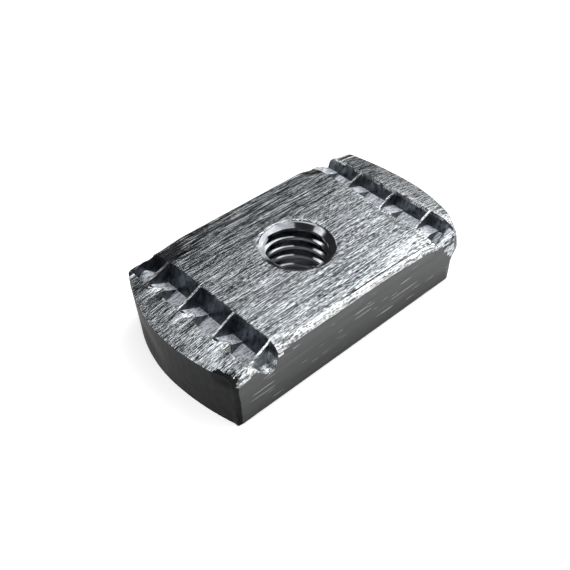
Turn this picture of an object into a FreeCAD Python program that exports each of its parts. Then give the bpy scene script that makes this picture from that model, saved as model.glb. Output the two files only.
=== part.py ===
import FreeCAD, Part
import math
import os

from FreeCAD import Vector

# Steel nut for slotted channel, with its thread axis on Z and its flat back on Z = 0.
# X runs along the nut, Y across it. All sizes are in millimetres.

# Body
length = 35.3
width = 19.0
thickness = 6.9
end_lean = 0.45
back_edge = 0.3

# Plan of each end: a bowed end, a nearly square corner and a corner rounded for turning in the channel
end_bow_radius = 28.5
end_bow_middle = 1.1
square_corner_radius = 0.6
turning_radius = 18.0
turning_corner_radius = 1.4

# Raised middle of the face, between the two grooves
plateau_half = 11.1
plateau_edge_width = 0.55
plateau_edge_height = 0.65

# Lips outside the grooves, pressed lower than the middle
groove_width = 3.5
lip_drop = 0.25
lip_fall = 0.5
lip_edge_width = 1.7
lip_edge_height = 1.05

# Teeth across the grooves
tooth_pitch = 5.0
tooth_slant = 15.0
tooth_crest = 0.28
tooth_flank_draft = 1.5
left_tooth = 1.4
right_tooth = -0.85
pocket_depth = 2.3
pocket_wall_draft = 15.0
ramp_depth = 2.2
ramp_width = 1.45
ramp_overlap = 0.5
tooth_side_margin = 0.6
rim_width = 0.9
rim_depth = 0.8

# Threaded hole, M8, as a plain bore at the tips of the thread with a countersunk mouth at each face
thread_major = 8.0
thread_pitch = 1.25
thread_depth_ratio = 0.5413
mouth_margin = 0.05
mouth_angle = 90.0

# How far the cutters and the pressed sections reach past the surfaces they cut
overshoot = 1.0


def polar(centre, radius, angle):
    """Returns the point at a plan angle on a circle about centre."""
    return centre + Vector(radius * math.cos(angle), radius * math.sin(angle), 0)


def arc(centre, radius, start, end):
    """Makes a plan arc about centre between two angles in radians."""
    middle = (start + end) / 2
    points = [polar(centre, radius, angle) for angle in (start, middle, end)]
    return Part.Arc(*points).toShape()


def corner_centre(centre, radius, corner_radius, side):
    """Finds the centre of the arc that blends an end arc into the side at Y = side."""
    y = math.copysign(abs(side) - corner_radius, side)
    reach = radius - corner_radius
    x = centre.x + math.sqrt(reach**2 - (y - centre.y) ** 2)
    return Vector(x, y, centre.z)


def half_outline(half_length, z):
    """Makes the edges of the +X end of the plan, from the turning corner to the square one, and one side."""
    side = width / 2
    bow = Vector(half_length - end_bow_radius, end_bow_middle, z)
    turn = Vector(half_length - turning_radius, end_bow_middle, z)
    low = corner_centre(turn, turning_radius, turning_corner_radius, -side)
    high = corner_centre(bow, end_bow_radius, square_corner_radius, side)
    low_angle = math.atan2(low.y - turn.y, low.x - turn.x)
    high_angle = math.atan2(high.y - bow.y, high.x - bow.x)
    side_start = Vector(high.x, side, z)
    side_end = Vector(-low.x, side, z)
    return [
        arc(low, turning_corner_radius, -math.pi / 2, low_angle),
        arc(turn, turning_radius, low_angle, 0),
        arc(bow, end_bow_radius, 0, high_angle),
        arc(high, square_corner_radius, high_angle, math.pi / 2),
        Part.LineSegment(side_start, side_end).toShape(),
    ]


def outline(half_length, z):
    """Makes the whole plan, whose second half is the first turned by half a turn."""
    first = half_outline(half_length, z)
    second = []
    for edge in first:
        turned = edge.copy()
        turned.rotate(Vector(0, 0, z), Vector(0, 0, 1), 180)
        second.append(turned)
    return Part.Wire(first + second)


def cross_section(x, top, edge_width, edge_height):
    """Makes the section across the nut at x, with its two top edges rounded over."""
    side = width / 2
    bulge = 1 - math.sqrt(0.5)
    left = [
        Vector(x, -side, top - edge_height),
        Vector(x, -side + bulge * edge_width, top - bulge * edge_height),
        Vector(x, -side + edge_width, top),
    ]
    right = [Vector(x, -point.y, point.z) for point in reversed(left)]
    back = [
        Vector(x, side, back_edge),
        Vector(x, side - back_edge, 0),
        Vector(x, -side + back_edge, 0),
        Vector(x, -side, back_edge),
    ]
    edges = [
        Part.Arc(*left).toShape(),
        Part.LineSegment(left[-1], right[0]).toShape(),
        Part.Arc(*right).toShape(),
    ]
    corners = [right[-1]] + back + [left[0]]
    for start, end in zip(corners, corners[1:]):
        edges.append(Part.LineSegment(start, end).toShape())
    return Part.Wire(edges)


def blank():
    """Makes the nut before its teeth and hole: the plan, leaning in at the ends, within the pressed sections."""
    plan = Part.makeLoft([outline(length / 2 - end_lean, 0), outline(length / 2, thickness)], True, True)
    groove_end = plateau_half + groove_width
    reach = length / 2 + overshoot
    lip_slope = lip_fall / (length / 2 - groove_end)
    end_top = thickness - lip_drop - lip_slope * (reach - groove_end)
    end = (end_top, lip_edge_width, lip_edge_height)
    lip = (thickness - lip_drop, lip_edge_width, lip_edge_height)
    plateau = (thickness, plateau_edge_width, plateau_edge_height)
    stations = [
        (-reach, end),
        (-groove_end, lip),
        (-plateau_half, plateau),
        (plateau_half, plateau),
        (groove_end, lip),
        (reach, end),
    ]
    sections = [cross_section(x, *form) for x, form in stations]
    pressed = Part.makeLoft(sections, True, True)
    return plan.common(pressed)


def six_sided(bottom, top):
    """Makes a solid from two facing rings of four corners each."""
    rings = [bottom, top]
    for index in range(4):
        after = (index + 1) % 4
        rings.append([bottom[index], bottom[after], top[after], top[index]])
    faces = [Part.Face(Part.makePolygon(ring + ring[:1])) for ring in rings]
    solid = Part.Solid(Part.Shell(faces))
    return solid


def notch(x_low, x_high, y_low, y_high, floor_low, floor_high):
    """Makes a cutter between two slanted lines, whose floor runs from depth floor_low to floor_high along X.

    y_low and y_high are where the lines cross the middle of the groove. All its walls lean by their draft.
    """
    slant = math.tan(math.radians(tooth_slant))
    wall = math.tan(math.radians(pocket_wall_draft))
    flank = math.tan(math.radians(tooth_flank_draft))
    x_middle = (x_low + x_high) / 2

    def corner(high_x, high_y, depth):
        x = x_high - wall * depth if high_x else x_low + wall * depth
        y = y_high - flank * depth if high_y else y_low + flank * depth
        return Vector(x, y + slant * (x - x_middle), thickness - depth)

    order = [(False, False), (True, False), (True, True), (False, True)]
    bottom = [corner(high_x, high_y, floor_high if high_x else floor_low) for high_x, high_y in order]
    top = [corner(high_x, high_y, -overshoot) for high_x, high_y in order]
    return six_sided(bottom, top)


def groove(x_low, first_tooth, open_side):
    """Makes the cutters of one groove: a deep pocket and a ramp beside it, below each tooth.

    The groove runs out through the side that open_side points to. A low rim closes it at the other side.
    """
    x_high = x_low + groove_width
    side = width / 2
    beyond = side + tooth_pitch
    rim = side - rim_width
    tooth_limit = side - tooth_side_margin
    reach = math.ceil(side / tooth_pitch)
    narrowest = 2 * pocket_depth * math.tan(math.radians(tooth_flank_draft))
    cutters = []
    for index in range(-reach, reach + 1):
        tooth = first_tooth + index * tooth_pitch
        below = tooth - tooth_pitch
        high = tooth - tooth_crest / 2 if tooth < tooth_limit else beyond
        low = below + tooth_crest / 2 if below > -tooth_limit else -beyond
        step = tooth - tooth_crest / 2 - ramp_width
        if open_side > 0:
            low = max(low, -rim)
        else:
            high = min(high, rim)
        if min(step, high) - low > narrowest:
            cutters.append(notch(x_low, x_high, low, min(step, high), pocket_depth, pocket_depth))
        start = max(step - ramp_overlap, low)
        if high - start > narrowest:
            cutters.append(notch(x_low, x_high, start, high, lip_drop, ramp_depth))
    rim_ends = sorted([-open_side * rim, -open_side * beyond])
    cutters.append(notch(x_low, x_high, *rim_ends, rim_depth, rim_depth))
    return cutters


def hole():
    """Makes the cutter of the bore, with its mouth opened at both faces."""
    bore = thread_major / 2 - thread_depth_ratio * thread_pitch
    mouth = thread_major / 2 + mouth_margin
    sink = (mouth - bore) / math.tan(math.radians(mouth_angle / 2))
    profile = [
        Vector(0, 0, 0),
        Vector(mouth, 0, 0),
        Vector(bore, 0, sink),
        Vector(bore, 0, thickness - sink),
        Vector(mouth, 0, thickness),
        Vector(0, 0, thickness),
    ]
    face = Part.Face(Part.makePolygon(profile + profile[:1]))
    return face.revolve(Vector(0, 0, 0), Vector(0, 0, 1), 360)


def channel_nut():
    """Makes the whole nut."""
    left = groove(-plateau_half - groove_width, left_tooth, -1)
    right = groove(plateau_half, right_tooth, 1)
    solid = blank()
    solid = solid.cut(left + right + [hole()])
    return solid.removeSplitter()


os.makedirs("parts", exist_ok=True)
nut = channel_nut()
print("valid", nut.isValid(), "solids", len(nut.Solids), "volume", round(nut.Volume, 2))
nut.exportStep("parts/channel_nut.step")
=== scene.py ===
import math

import bmesh
import bpy
from mathutils import Matrix, Vector, noise


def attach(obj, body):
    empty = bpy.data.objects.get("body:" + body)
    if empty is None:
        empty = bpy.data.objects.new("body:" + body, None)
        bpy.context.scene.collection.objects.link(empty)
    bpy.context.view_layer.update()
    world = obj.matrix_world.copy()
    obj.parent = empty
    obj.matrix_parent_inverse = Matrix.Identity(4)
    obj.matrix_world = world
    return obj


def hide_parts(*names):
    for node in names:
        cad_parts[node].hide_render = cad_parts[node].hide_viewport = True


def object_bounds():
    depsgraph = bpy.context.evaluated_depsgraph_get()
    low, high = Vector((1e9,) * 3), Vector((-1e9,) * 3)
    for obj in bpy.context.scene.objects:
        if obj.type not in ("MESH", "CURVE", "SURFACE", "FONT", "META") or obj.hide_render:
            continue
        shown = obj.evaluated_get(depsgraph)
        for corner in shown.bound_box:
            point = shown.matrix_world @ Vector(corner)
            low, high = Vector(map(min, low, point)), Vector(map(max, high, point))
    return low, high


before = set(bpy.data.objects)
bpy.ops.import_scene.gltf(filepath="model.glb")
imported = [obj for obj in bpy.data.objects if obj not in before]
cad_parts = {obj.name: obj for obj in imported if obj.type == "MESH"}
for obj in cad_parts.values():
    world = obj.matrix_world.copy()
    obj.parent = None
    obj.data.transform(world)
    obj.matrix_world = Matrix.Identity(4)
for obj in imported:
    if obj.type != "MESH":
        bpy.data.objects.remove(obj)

cad_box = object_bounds()

# The nut is worked on in millimetres and scaled to metres at the end.
MM = 0.001

# Sizes of the solid
LENGTH = 35.2
WIDTH = 19.0
THICKNESS = 6.9
PLATEAU_HALF = 11.1
GROOVE_END = 14.6
GROOVE_DEPTH = 2.3
LIP_DROP = 0.25

# M8 coarse thread, opened at each face by a cone that starts at a narrow lip
PITCH = 1.25
MAJOR_RADIUS = 4.0
MINOR_RADIUS = 3.3234
THREAD_START = -0.3
MOUTH_RADIUS = 4.05
MOUTH_LIP = 0.04
MOUTH_STEEPNESS = 2.2
HOLE_REACH = MOUTH_RADIUS + 0.01

# Work on the skin: rounding of sharp edges, and slices along X, Y and Z, finest across the streaks
EDGE_ROUNDING = 0.12
SLICE_SPACING = (0.32, 0.14, 0.35)
MERGE_DISTANCE = 0.0005
FLAT_ANGLE = math.radians(0.6)
SHARP_ANGLE = math.radians(20)
SMOOTH_ANGLE = math.radians(40)


def mesh_object(name, mesh, materials):
    """Turns a bmesh in millimetres into an object in metres at the origin."""
    bmesh.ops.scale(mesh, vec=(MM, MM, MM), verts=mesh.verts)
    data = bpy.data.meshes.new(name)
    mesh.to_mesh(data)
    mesh.free()
    for material in materials:
        data.materials.append(material)
    piece = bpy.data.objects.new(name, data)
    bpy.context.scene.collection.objects.link(piece)
    return piece


# Materials

MULTIPLY = {"operation": "MULTIPLY"}

# Marks of the plating: long ones are five times longer than short ones, and prevail at the far side
LONG_MARK_SCALE = (0.2, 0.8, 0.8)
NEAR_LONG_SHARE = 0.42
FAR_LONG_SHARE = 0.75
NEAR_LIMIT = 3.0
FAR_LIMIT = 7.0

# Scratches are the highest peaks of a stretched noise. Real ones are about 0.02 mm wide, which is too fine
# to show in the render, so they are drawn about 0.1 mm wide.
SCRATCH_SIZE = (2.5, 1 / 9, 1 / 9)
SCRATCH_PEAK_START = 0.74
SCRATCH_PEAK_END = 0.82

# Painted shade and light on the sides and ends: darker towards the foot, fastest at the very bottom, and
# lighter towards the top.
PAINTED_FOOT_SHADE_POWER = 0.35
PAINTED_FOOT_SHADE_GAIN = 1.35


def linear(hex_colour):
    """Turns an sRGB hex colour into Blender's linear RGBA."""
    channels = []
    for start in (1, 3, 5):
        value = int(hex_colour[start:start + 2], 16) / 255
        low = value / 12.92
        high = ((value + 0.055) / 1.055) ** 2.4
        channels.append(low if value <= 0.04045 else high)
    return (*channels, 1.0)


def add_node(tree, kind, links=None, settings=None, numbers=None, **values):
    """Adds a node, sets its properties and its sockets by number or name, and links sockets to outputs."""
    node = tree.nodes.new(kind)
    for name, value in (settings or {}).items():
        setattr(node, name, value)
    for index, value in (numbers or {}).items():
        node.inputs[index].default_value = value
    for name, value in values.items():
        node.inputs[name.replace("_", " ")].default_value = value
    for name, (source, output) in (links or {}).items():
        tree.links.new(source.outputs[output], node.inputs[name])
    return node


def new_material(name):
    """Makes an empty node material."""
    material = bpy.data.materials.new(name)
    material.use_nodes = True
    material.node_tree.nodes.clear()
    return material


def marks_per_metre(size):
    """Turns the size of a mark along X, Y and Z in millimetres into the scale of its pattern."""
    return tuple(1 / MM / side for side in size)


def plated_steel(
    name,
    light,
    dark,
    roughness,
    grain,
    bump,
    spread=(0.35, 0.65),
    metallic=1.0,
    scratch=None,
    painted_foot_shade=False,
):
    """Makes zinc-plated steel. grain is the size of its marks and bump their depth, in millimetres."""
    material = new_material(name)
    tree = material.node_tree
    place = add_node(tree, "ShaderNodeTexCoord")
    across = add_node(tree, "ShaderNodeSeparateXYZ", {"Vector": (place, "Object")})
    marks = add_node(tree, "ShaderNodeMapping", {"Vector": (place, "Object")}, Scale=marks_per_metre(grain))
    stretch = add_node(tree, "ShaderNodeMapping", {"Vector": (marks, "Vector")}, Scale=LONG_MARK_SCALE)
    short = add_node(
        tree,
        "ShaderNodeTexNoise",
        {"Vector": (marks, "Vector")},
        Scale=1.0,
        Detail=3.0,
        Roughness=0.6,
    )
    long = add_node(
        tree,
        "ShaderNodeTexNoise",
        {"Vector": (stretch, "Vector")},
        Scale=1.0,
        Detail=2.0,
        Roughness=0.5,
    )
    share = add_node(
        tree,
        "ShaderNodeMapRange",
        {"Value": (across, "Y")},
        From_Min=NEAR_LIMIT * MM,
        From_Max=FAR_LIMIT * MM,
        To_Min=NEAR_LONG_SHARE,
        To_Max=FAR_LONG_SHARE,
    )
    fine = add_node(
        tree,
        "ShaderNodeMix",
        {"Factor": (share, "Result"), "A": (short, "Fac"), "B": (long, "Fac")},
    )
    tone = (fine, "Result")
    if scratch:
        scratch_scale = marks_per_metre(SCRATCH_SIZE)
        thin = add_node(tree, "ShaderNodeMapping", {"Vector": (place, "Object")}, Scale=scratch_scale)
        lines = add_node(tree, "ShaderNodeTexNoise", {"Vector": (thin, "Vector")}, Scale=1.0, Detail=0.0)
        bright = add_node(
            tree,
            "ShaderNodeMapRange",
            {"Value": (lines, "Fac")},
            From_Min=SCRATCH_PEAK_START,
            From_Max=SCRATCH_PEAK_END,
        )
        both = add_node(tree, "ShaderNodeMath", {0: tone, 1: (bright, "Result")}, {"operation": "MAXIMUM"})
        tone = (both, "Value")
    colour = add_node(tree, "ShaderNodeValToRGB", {"Fac": tone})
    for stop, position, shade in zip(colour.color_ramp.elements, spread, (dark, light)):
        stop.position = position
        stop.color = linear(shade)
    if scratch:
        colour.color_ramp.elements.new(1.0).color = linear(scratch)
    paint = (colour, "Color")
    # Painted shade towards the foot and painted light towards the top
    if painted_foot_shade:
        height = add_node(tree, "ShaderNodeMapRange", {"Value": (across, "Z")}, From_Max=THICKNESS * MM)
        rise = add_node(
            tree,
            "ShaderNodeMath",
            {0: (height, "Result")},
            {"operation": "POWER"},
            {1: PAINTED_FOOT_SHADE_POWER},
        )
        gain = add_node(tree, "ShaderNodeMath", {0: (rise, "Value")}, MULTIPLY, {1: PAINTED_FOOT_SHADE_GAIN})
        shaded = add_node(tree, "ShaderNodeVectorMath", {0: paint, 1: (gain, "Value")}, MULTIPLY)
        paint = (shaded, "Vector")
    bumps = add_node(tree, "ShaderNodeBump", {"Height": (fine, "Result")}, Strength=1.0, Distance=bump * MM)
    surface = add_node(
        tree,
        "ShaderNodeBsdfPrincipled",
        {"Base Color": paint, "Normal": (bumps, "Normal")},
        Metallic=metallic,
        Roughness=roughness,
    )
    add_node(tree, "ShaderNodeOutputMaterial", {"Surface": (surface, "BSDF")})
    return material


# Drawn and pressed face: torn streaks along X that glint one by one. The real marks are finer than the render
# can show, so they are drawn 0.09 mm wide.
FACE = plated_steel(
    "zinc_on_drawn_face",
    light="#e0e5e9",
    dark="#2a2d30",
    roughness=0.15,
    grain=(0.55, 0.09, 0.3),
    bump=0.03,
    spread=(0.43, 0.57),
)
# Smooth drawn side: an even satin grey with a few bright lengthwise scratches, with painted shade darker
# towards the foot
SIDE = plated_steel(
    "zinc_on_smooth_side",
    light="#616262",
    dark="#535454",
    roughness=0.38,
    grain=(6.0, 0.3, 0.3),
    bump=0.006,
    scratch="#c8c8c8",
    painted_foot_shade=True,
)
# Sheared end: duller, with soft lumps, and much darker, which is painted shade
END = plated_steel(
    "sheared_end_painted_shade",
    light="#262727",
    dark="#1a1b1b",
    roughness=0.42,
    grain=(0.6, 0.6, 0.9),
    bump=0.012,
    painted_foot_shade=True,
)
# Floors that the die pressed: bluish and matt, because the zinc there is rough and scatters the light, and
# painted pale as painted light in the groove's shade
FLOOR = plated_steel(
    "pressed_floor_painted_light",
    light="#f6f9ff",
    dark="#8890a0",
    roughness=0.5,
    grain=(0.3, 0.15, 0.3),
    bump=0.02,
    spread=(0.42, 0.53),
    metallic=0.1,
)
# Walls beside the teeth: painted shade, dark and dull
WALL = plated_steel(
    "pressed_wall_painted_shade",
    light="#82888f",
    dark="#303336",
    roughness=0.4,
    grain=(0.4, 0.4, 0.6),
    bump=0.02,
)
# Painted highlight on edges: nearly white, with small dark flecks
EDGE = plated_steel(
    "edge_painted_highlight",
    light="#f6f8f9",
    dark="#6c6f72",
    roughness=0.2,
    grain=(0.35, 0.12, 0.2),
    bump=0.03,
    spread=(0.42, 0.55),
)
# Tapped thread: smooth and dark, with crisp glints along its turns
THREAD = plated_steel(
    "zinc_on_cut_thread",
    light="#c2c4c6",
    dark="#9699a0",
    roughness=0.1,
    grain=(1.5, 1.5, 0.4),
    bump=0.003,
)
FINISHES = [FACE, SIDE, END, FLOOR, WALL, EDGE, THREAD]


# Skin of the nut


def cad_copy(node):
    """Copies the CAD node's mesh in millimetres as one skin, without the wall of its bore."""
    mesh = bmesh.new()
    mesh.from_mesh(node.data)
    bmesh.ops.scale(mesh, vec=(1 / MM, 1 / MM, 1 / MM), verts=mesh.verts)
    bmesh.ops.remove_doubles(mesh, verts=mesh.verts, dist=MERGE_DISTANCE)
    bore = [face for face in mesh.faces if all(vert.co.xy.length < HOLE_REACH for vert in face.verts)]
    bmesh.ops.delete(mesh, geom=bore, context="FACES")
    bmesh.ops.dissolve_limit(mesh, angle_limit=FLAT_ANGLE, verts=mesh.verts, edges=mesh.edges)
    return mesh


def soften(mesh, width):
    """Rounds over every sharp edge."""
    sharp = [edge for edge in mesh.edges if edge.is_manifold and edge.calc_face_angle(0) > SHARP_ANGLE]
    bmesh.ops.bevel(
        mesh,
        geom=sharp,
        offset=width,
        offset_type="OFFSET",
        segments=2,
        profile=0.5,
        affect="EDGES",
        material=-1,
        clamp_overlap=True,
    )


def slice_up(mesh, axis, spacing, low, high):
    """Cuts the mesh into slices across an axis, so that it can be shaped."""
    normal = Vector((0, 0, 0))
    normal[axis] = 1
    count = round((high - low) / spacing)
    for index in range(1, count):
        place = normal * (low + (high - low) * index / count)
        geometry = mesh.verts[:] + mesh.edges[:] + mesh.faces[:]
        bmesh.ops.bisect_plane(mesh, geom=geometry, dist=MERGE_DISTANCE, plane_co=place, plane_no=normal)


# Standard shares of the pitch: flat tip, flank and flat root of a nut's thread
TIP_SHARE = 1 / 4
FLANK_SHARE = 5 / 16
ROOT_SHARE = 1 / 8
FLANK_STEPS = 5
STEPS_AROUND = 128
TURNS = range(-2, 7)
TURN_MERGE = 0.001
TRIM_TOLERANCE = 0.0001


def thread_wall():
    """Makes the wall of the tapped hole: a helical groove, opened by a cone at each mouth."""
    tip, flank, root = PITCH * TIP_SHARE, PITCH * FLANK_SHARE, PITCH * ROOT_SHARE
    depth = MAJOR_RADIUS - MINOR_RADIUS
    turn_profile = [(0, MINOR_RADIUS)]
    for step in range(FLANK_STEPS + 1):
        share = step / FLANK_STEPS
        turn_profile.append((tip + flank * share, MINOR_RADIUS + depth * share))
    for step in range(FLANK_STEPS):
        share = step / FLANK_STEPS
        turn_profile.append((tip + flank + root + flank * share, MAJOR_RADIUS - depth * share))
    mesh = bmesh.new()
    line = []
    for turn in TURNS:
        for height, radius in turn_profile:
            line.append(mesh.verts.new((radius, 0, THREAD_START + turn * PITCH + height)))
    edges = [mesh.edges.new(pair) for pair in zip(line, line[1:])]
    bmesh.ops.spin(
        mesh,
        geom=line + edges,
        cent=(0, 0, 0),
        axis=(0, 0, 1),
        dvec=(0, 0, PITCH / STEPS_AROUND),
        angle=math.tau,
        steps=STEPS_AROUND,
        use_merge=False,
    )
    bmesh.ops.remove_doubles(mesh, verts=mesh.verts, dist=TURN_MERGE)
    for height, top in ((MOUTH_LIP, False), (THICKNESS - MOUTH_LIP, True)):
        bmesh.ops.bisect_plane(
            mesh,
            geom=mesh.verts[:] + mesh.edges[:] + mesh.faces[:],
            dist=TRIM_TOLERANCE,
            plane_co=(0, 0, height),
            plane_no=(0, 0, 1),
            clear_outer=top,
            clear_inner=not top,
        )
    for vert in mesh.verts:
        cone = MOUTH_RADIUS - MOUTH_STEEPNESS * min(vert.co.z, THICKNESS - vert.co.z)
        radius = vert.co.xy.length
        if cone > radius:
            vert.co.xy *= cone / radius
    return mesh


def join_thread(mesh):
    """Adds the thread's wall to the nut's skin and closes the narrow ring between them at each mouth."""
    wall = thread_wall()
    holder = bpy.data.meshes.new("thread_wall")
    wall.to_mesh(holder)
    wall.free()
    mesh.from_mesh(holder)
    bpy.data.meshes.remove(holder)
    middle = THICKNESS / 2
    for top in (False, True):
        rims = [edge for edge in mesh.edges if edge.is_boundary and (edge.verts[0].co.z > middle) == top]
        bmesh.ops.bridge_loops(mesh, edges=rims)
    bmesh.ops.recalc_face_normals(mesh, faces=mesh.faces)
    if mesh.calc_volume(signed=True) < 0:
        bmesh.ops.reverse_faces(mesh, faces=mesh.faces)


def smooth_step(low, high, value):
    """Rises smoothly from 0 at low to 1 at high."""
    share = min(max((value - low) / (high - low), 0), 1)
    return share * share * (3 - 2 * share)


# Middles of the places where the ramps pushed the left lip's edge into the groove
PUSHED_LIP_Y = (4.3, -0.7, -5.7)

# Places where the real nut departs from its straight form: centre, half size, and move at the centre
WORN_PLACES = [
    # far left corner of the plateau and its end of the groove, rolled down
    ((-11.1, 9.5, 6.9), (3.6, 3.2, 2.6), (0, 0, -0.35)),
    # floor and rim of the last cell beside it, pressed less deep
    ((-13.1, 8.2, 4.6), (1.8, 1.6, 3.0), (0, 0, 1.4)),
    # near left corner of the plateau, rolled down and in
    ((-11.1, -9.5, 6.9), (2.4, 1.5, 1.8), (0, 0.2, -0.4)),
    # near long edge of the plateau, sinking towards the right
    ((11.1, -9.5, 6.9), (9.0, 3.0, 2.0), (0, 0, -0.5)),
    # near right corner of the plateau
    ((11.1, -9.5, 6.9), (2.0, 2.6, 2.0), (0.1, 0.1, -0.4)),
    # right edge of the plateau
    ((10.9, -4.0, 6.9), (1.0, 7.5, 0.8), (-0.25, 0, -0.25)),
    # far right corner of the plateau
    ((11.1, 9.5, 6.9), (2.2, 2.0, 1.6), (0, 0, -0.4)),
    # near right corner of the lip, bulging out under a rolled top
    ((15.0, -9.2, 3.9), (2.6, 2.6, 1.7), (0.95, 0, 0)),
    ((15.5, -9.0, 6.4), (2.2, 2.2, 1.6), (0, 0, -0.45)),
    # near left corner of the lip, chipped
    ((-16.8, -9.5, 6.2), (1.6, 1.6, 1.2), (0, 0, -0.3)),
    ((-17.2, -8.8, 6.1), (1.2, 2.4, 1.3), (0.45, 0, -0.3)),
    # end under the left lip
    ((-17.6, 5.0, 2.4), (2.0, 6.0, 3.0), (0.5, 0, 0)),
    # floor at the open end of the left groove, rolled over the side
    ((-12.7, -9.5, 5.5), (1.7, 1.3, 1.5), (0, 0, -0.8)),
    # edge of the left lip, pushed into the groove beside each ramp
    *[((-14.6, y, 6.3), (1.4, 1.2, 2.2), (0.85, 0, 0)) for y in PUSHED_LIP_Y],
    # burr at the foot of the near left corner
    ((-16.6, -9.4, 0.4), (1.2, 0.8, 1.6), (-0.3, 0, 0)),
]

# Depth of the right groove on this nut, as a share of the left one's
RIGHT_GROOVE_SHARE = 0.76
PRESSED_MARGIN = 0.02

# The top skin, and the far rim of the hole, which sank a little
TOP_SKIN = 0.1
HOLE_RIM_WIDTH = 0.05
HOLE_RIM_DROP = 0.05

# A long tear along the near edge of the plateau
TEAR_Y = -8.72
TEAR_HALF_WIDTH = 0.08
TEAR_START = -2
TEAR_DEPTH = 0.1


def pressed(point):
    """Raises a point of the right groove, which came out shallower than the left one."""
    depth = THICKNESS - point.z
    raised = point.copy()
    across_groove = PLATEAU_HALF - PRESSED_MARGIN < point.x < GROOVE_END + PRESSED_MARGIN
    if across_groove and LIP_DROP < depth < GROOVE_DEPTH + PRESSED_MARGIN:
        raised.z = THICKNESS - LIP_DROP - (depth - LIP_DROP) * RIGHT_GROOVE_SHARE
    return raised


def worn(point):
    """Moves a point of the CAD surface to where the press and the worn places put it."""
    moved = pressed(point)
    if point.z > THICKNESS - TOP_SKIN:
        if point.xy.length < MOUTH_RADIUS + HOLE_RIM_WIDTH and point.x + point.y > 0:
            moved.z -= HOLE_RIM_DROP
        if abs(point.y - TEAR_Y) < TEAR_HALF_WIDTH and TEAR_START < point.x < PLATEAU_HALF:
            moved.z -= TEAR_DEPTH
    for centre, half_size, move in WORN_PLACES:
        reach = math.sqrt(sum(((point[axis] - centre[axis]) / half_size[axis]) ** 2 for axis in range(3)))
        if reach < 1:
            moved += Vector(move) * smooth_step(1, 0, reach)
    return moved


# Sizes of the streaks and lumps of the surface along X, Y and Z
LONG_STREAK = (3.5, 0.42, 0.42)
SHORT_STREAK = (0.9, 0.28, 0.5)
SHORT_STREAK_SHIFT = 7
LUMP = (0.7, 0.7, 0.7)

# How far the skin lies below the CAD surface, and how far its streaks and lumps rise and fall from there
FACE_DEPTH = 0.03
FACE_LONG_RISE = 0.012
FACE_SHORT_RISE = 0.008
BACK_DEPTH = 0.01
BACK_RISE = 0.008
SIDE_DEPTH = 0.01
SIDE_RISE = 0.005
LUMPY_DEPTH = 0.02
LUMP_RISE = 0.018

# Where the face's streaks and the side's streaks are
FACING = 0.7
FACE_BOTTOM = THICKNESS - 1.4
SIDE_TOP = 6


def noise_at(point, size, shift=0):
    """Gives smooth noise between about -1 and 1, with marks of a size."""
    x, y, z = (point[axis] / size[axis] for axis in range(3))
    return noise.noise(Vector((x, y, z + shift)))


def relief(point, normal):
    """Gives how far the skin lies below the CAD surface at a point, in millimetres."""
    long_streaks = noise_at(point, LONG_STREAK)
    short_streaks = noise_at(point, SHORT_STREAK, SHORT_STREAK_SHIFT)
    if normal.z > FACING and point.z > FACE_BOTTOM:
        return FACE_DEPTH - FACE_LONG_RISE * long_streaks - FACE_SHORT_RISE * short_streaks
    if normal.z < -FACING:
        return BACK_DEPTH - BACK_RISE * long_streaks
    if abs(normal.y) > FACING and point.z < SIDE_TOP:
        return SIDE_DEPTH - SIDE_RISE * long_streaks
    return LUMPY_DEPTH - LUMP_RISE * noise_at(point, LUMP)


def keep_in_box(point):
    """Brings a point back inside the CAD box."""
    for axis in range(3):
        low, high = (corner[axis] / MM for corner in cad_box)
        point[axis] = min(max(point[axis], low), high)
    return point


def nut_body():
    """Makes the nut's skin with rounded edges and worked surfaces."""
    mesh = cad_copy(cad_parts["channel_nut"])
    soften(mesh, EDGE_ROUNDING)
    spans = ((-LENGTH / 2, LENGTH / 2), (-WIDTH / 2, WIDTH / 2), (0, THICKNESS))
    for axis, (low, high) in enumerate(spans):
        slice_up(mesh, axis, SLICE_SPACING[axis], low, high)
    mesh.normal_update()
    places = [keep_in_box(worn(vert.co) - vert.normal * relief(vert.co, vert.normal)) for vert in mesh.verts]
    for vert, place in zip(mesh.verts, places):
        vert.co = place
    join_thread(mesh)
    return mesh


# Finishes of the nut. A tilt is the Z of a face's normal: 1 faces up, 0 sideways.
LEVEL_TILT = 0.6

# In the grooves: how far past their walls and floors they reach, and their rims with painted highlight
GROOVE_MARGIN = 0.05
GROOVE_BOTTOM = THICKNESS - GROOVE_DEPTH - 0.9
RIM_BOTTOM = THICKNESS - 0.5
RIM_TILT = 0.3

# Open end of the left groove, given painted highlight where it rolls over the side
OPEN_END_Y = -8.2
OPEN_END_TILT = 0.2
OPEN_END_TOP = 5.8
OPEN_END_X = -12.6

# Painted shade at the far end of the left groove and along the plateau's wall
GROOVE_SHADE_BOTTOM = 5
GROOVE_SHADE_START_Y = 8.5
GROOVE_SHADE_WIDTH = 0.6

# Near end of the right groove, which keeps the face's streaks
RIGHT_END_WIDTH = 0.9
RIGHT_END_TILT = 0.4

# Inner edge of the right lip, given painted highlight
RIGHT_LIP_EDGE_WIDTH = 0.3
RIGHT_LIP_EDGE_END = 3

# Long edges of the plateau, but not the far one's left part, given painted highlight
BAND_WIDTH = 0.75
BAND_BOTTOM = 5.5
BAND_TILT = 0.25
FAR_BAND_START = -4

# Outer edge of the left lip, given painted highlight
LIP_BAND_WIDTH = 0.15
LIP_BAND_BOTTOM = 5.0
LIP_BAND_TILT = 0.1

# Rounded corner of the left end, which gets the end's dark finish as painted shade
CORNER_X = -15
CORNER_Y = -6.4
CORNER_FACING = -0.25

# Streaked skin rolled down over the near right corner, along a slanting line
ROLLED_X = 11.4
ROLLED_Y = -8.6
ROLLED_BOTTOM = 5.9
ROLLED_SLOPE = 1.18

# Left end, with its distance from the sides; it gets the end finish, painted dark as painted shade
END_MARGIN = 0.3
END_TILT = -0.6


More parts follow.
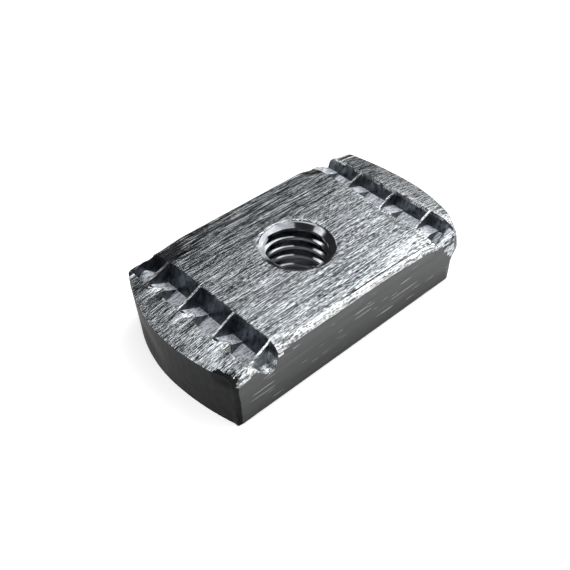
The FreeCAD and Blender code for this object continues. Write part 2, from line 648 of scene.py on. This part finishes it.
def groove_finish(centre, normal, from_side):
    """Tells which finish a face in a groove has."""
    x, y, z = centre
    if z > RIM_BOTTOM and normal.z > RIM_TILT:
        return EDGE
    over_the_side = y < OPEN_END_Y and (z < OPEN_END_TOP or x < OPEN_END_X)
    if x < 0 and over_the_side and normal.z > OPEN_END_TILT:
        return EDGE
    painted_shade = y > GROOVE_SHADE_START_Y or abs(x) < PLATEAU_HALF + GROOVE_SHADE_WIDTH
    if x < 0 and z > GROOVE_SHADE_BOTTOM and painted_shade:
        return WALL
    if from_side < RIGHT_END_WIDTH and x > 0 > y and normal.z > RIGHT_END_TILT:
        return FACE
    # Level faces get the pale floor as painted light, steep ones the dark wall as painted shade
    return FLOOR if normal.z > LEVEL_TILT else WALL


def finish_of(centre, normal):
    """Tells which finish a face has from where it lies and which way it faces."""
    x, y, z = centre
    from_side = WIDTH / 2 - abs(y)
    if centre.xy.length < HOLE_REACH:
        return THREAD
    on_right_lip_edge = GROOVE_END < x < GROOVE_END + RIGHT_LIP_EDGE_WIDTH and y < RIGHT_LIP_EDGE_END
    if on_right_lip_edge and normal.z > 0:
        return EDGE
    across_groove = PLATEAU_HALF - GROOVE_MARGIN < abs(x) < GROOVE_END + GROOVE_MARGIN
    if across_groove and z > GROOVE_BOTTOM and from_side > GROOVE_MARGIN:
        return groove_finish(centre, normal, from_side)
    on_plateau_edge = abs(x) < PLATEAU_HALF and from_side < BAND_WIDTH and z > BAND_BOTTOM
    if on_plateau_edge and normal.z > BAND_TILT and (y < 0 or x > FAR_BAND_START):
        return EDGE
    on_lip_edge = x < -GROOVE_END and from_side < LIP_BAND_WIDTH and z > LIP_BAND_BOTTOM
    if on_lip_edge and normal.z > LIP_BAND_TILT:
        return EDGE
    if x < CORNER_X and y < CORNER_Y and normal.x < CORNER_FACING:
        return END
    rolled_over = x > ROLLED_X and y < ROLLED_Y and z > ROLLED_BOTTOM - ROLLED_SLOPE * (x - ROLLED_X)
    if normal.z > LEVEL_TILT or rolled_over:
        return FACE
    if x < -GROOVE_END and from_side > END_MARGIN and normal.z > END_TILT:
        return END
    return SIDE


body = mesh_object("channel_nut_steel", nut_body(), FINISHES)
skin = body.data
for polygon in skin.polygons:
    polygon.material_index = FINISHES.index(finish_of(polygon.center / MM, polygon.normal))
    polygon.use_smooth = True
skin.set_sharp_from_angle(angle=SMOOTH_ANGLE)
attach(body, "root")
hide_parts("channel_nut")


# Floor

FLOOR_RADIUS = 2500
FLOOR_SEGMENTS = 64

# How much the floor is lifted towards white where the camera sees it, and where metal mirrors it
SEEN_LIFT = 0.55
MIRRORED_LIFT = 0.12

# Radii between which the lift grows, so that the floor under the hole stays as dark as its light leaves it
LIFT_START = 5
LIFT_END = 8


def floor_material():
    """Makes white paper that the camera and the metal see brighter than it is lit, with the nut's shadow."""
    material = new_material("studio_floor")
    tree = material.node_tree
    path = add_node(tree, "ShaderNodeLightPath")
    mirrored = add_node(
        tree,
        "ShaderNodeMath",
        {0: (path, "Is Glossy Ray"), 1: (path, "Is Transmission Ray")},
        {"operation": "ADD", "use_clamp": True},
    )
    mirrored_lift = add_node(tree, "ShaderNodeMath", {0: (mirrored, "Value")}, MULTIPLY, {1: MIRRORED_LIFT})
    seen = add_node(
        tree,
        "ShaderNodeMath",
        {0: (path, "Is Camera Ray"), 2: (mirrored_lift, "Value")},
        {"operation": "MULTIPLY_ADD"},
        {1: SEEN_LIFT},
    )
    place = add_node(tree, "ShaderNodeTexCoord")
    distance = add_node(tree, "ShaderNodeVectorMath", {0: (place, "Object")}, {"operation": "LENGTH"})
    beyond_hole = add_node(
        tree,
        "ShaderNodeMapRange",
        {"Value": (distance, "Value")},
        From_Min=LIFT_START * MM,
        From_Max=LIFT_END * MM,
    )
    lift = add_node(tree, "ShaderNodeMath", {0: (seen, "Value"), 1: (beyond_hole, "Result")}, MULTIPLY)
    glow = add_node(tree, "ShaderNodeEmission", {"Strength": (lift, "Value")}, Color=(1, 1, 1, 1))
    paper = add_node(tree, "ShaderNodeBsdfDiffuse", Color=linear("#f2f2f2"))
    both = add_node(tree, "ShaderNodeAddShader", {0: (glow, "Emission"), 1: (paper, "BSDF")})
    add_node(tree, "ShaderNodeOutputMaterial", {"Surface": (both, "Shader")})
    return material


floor_mesh = bmesh.new()
bmesh.ops.create_circle(floor_mesh, cap_ends=True, segments=FLOOR_SEGMENTS, radius=FLOOR_RADIUS)
floor = mesh_object("floor", floor_mesh, [floor_material()])


# Light

# Dark gaps of the dome: an axis, and where along it the gap starts and is full. One lies towards +Y, so that
# the far half of the face is dark. The other is overhead, so that the face's streaks stand out.
DARK_GAPS = (("Y", 0.46, 0.57), ("Z", 0.84, 0.93))
GAP_BRIGHTNESS = 0.04


def studio_world():
    """Lights the nut by a soft white dome with dark gaps."""
    world = bpy.data.worlds.new("studio")
    world.use_nodes = True
    tree = world.node_tree
    tree.nodes.clear()
    place = add_node(tree, "ShaderNodeTexCoord")
    direction = add_node(tree, "ShaderNodeSeparateXYZ", {"Vector": (place, "Generated")})
    shares = []
    for axis, start, end in DARK_GAPS:
        share = add_node(
            tree,
            "ShaderNodeMapRange",
            {"Value": (direction, axis)},
            {"interpolation_type": "SMOOTHSTEP"},
            From_Min=start,
            From_Max=end,
            To_Min=1.0,
            To_Max=GAP_BRIGHTNESS,
        )
        shares.append((share, "Result"))
    level = add_node(tree, "ShaderNodeMath", dict(enumerate(shares)), MULTIPLY)
    sky = add_node(tree, "ShaderNodeBackground", {"Strength": (level, "Value")}, Color=(1, 1, 1, 1))
    add_node(tree, "ShaderNodeOutputWorld", {"Surface": (sky, "Background")})
    bpy.context.scene.world = world


def softbox(name, centre, back, width, height, brightness):
    """Makes an area lamp in metres, whose back points along a direction. No camera sees it."""
    lamp = bpy.data.lights.new(name, "AREA")
    lamp.shape = "RECTANGLE"
    lamp.size = width
    lamp.size_y = height
    lamp.energy = brightness * math.pi * width * height
    piece = bpy.data.objects.new(name, lamp)
    piece.location = centre
    piece.rotation_euler = Vector(back).to_track_quat("Z", "Y").to_euler()
    piece.visible_camera = False
    bpy.context.scene.collection.objects.link(piece)


studio_world()
# Overhead and to the right. The face mirrors its far edge, so it is bright near the camera and darker beyond.
softbox("key_softbox", (0.238, 0.0, 0.15), (0, 0.09, 1), 0.46, 0.22, 1.0)
# A small one, mirrored by the left lip
softbox("lip_softbox", (-0.02, 0.06, 0.152), (0, 0.09, 1), 0.08, 0.05, 1.2)
# A weak one in front, for the long side
softbox("fill_softbox", (0, -0.49, 0.34), (0, -0.82, 0.57), 0.4, 0.4, 0.4)


# Camera, found by fitting the nut's outline, grooves and hole in the photograph

AZIMUTH = math.radians(-42.373)
ELEVATION = math.radians(42.007)
ROLL = math.radians(-0.701)
DISTANCE = 83.902
SHIFT_RIGHT = -1.235
SHIFT_UP = -4.105
FOCAL_PIXELS = 824.98
PHOTO_PIXELS = 570
SENSOR_WIDTH = 36


def photo_camera():
    """Places the camera where the photograph was taken from."""
    back = Vector(
        (
            math.sin(AZIMUTH) * math.cos(ELEVATION),
            -math.cos(AZIMUTH) * math.cos(ELEVATION),
            math.sin(ELEVATION),
        )
    )
    level_right = Vector((math.cos(AZIMUTH), math.sin(AZIMUTH), 0))
    level_up = back.cross(level_right)
    right = math.cos(ROLL) * level_right + math.sin(ROLL) * level_up
    up = math.cos(ROLL) * level_up - math.sin(ROLL) * level_right
    place = back * DISTANCE + right * SHIFT_RIGHT + up * SHIFT_UP + Vector((0, 0, THICKNESS))
    view = bpy.data.cameras.new("camera")
    view.sensor_fit = "HORIZONTAL"
    view.sensor_width = SENSOR_WIDTH
    view.lens = FOCAL_PIXELS * SENSOR_WIDTH / PHOTO_PIXELS
    view.clip_start = 0.005
    view.clip_end = 20
    camera = bpy.data.objects.new("camera", view)
    turn = Matrix((right, up, back)).transposed().to_4x4()
    camera.matrix_world = Matrix.Translation(place * MM) @ turn
    bpy.context.scene.collection.objects.link(camera)
    bpy.context.scene.camera = camera


photo_camera()
bpy.context.scene.view_settings.view_transform = "Standard"
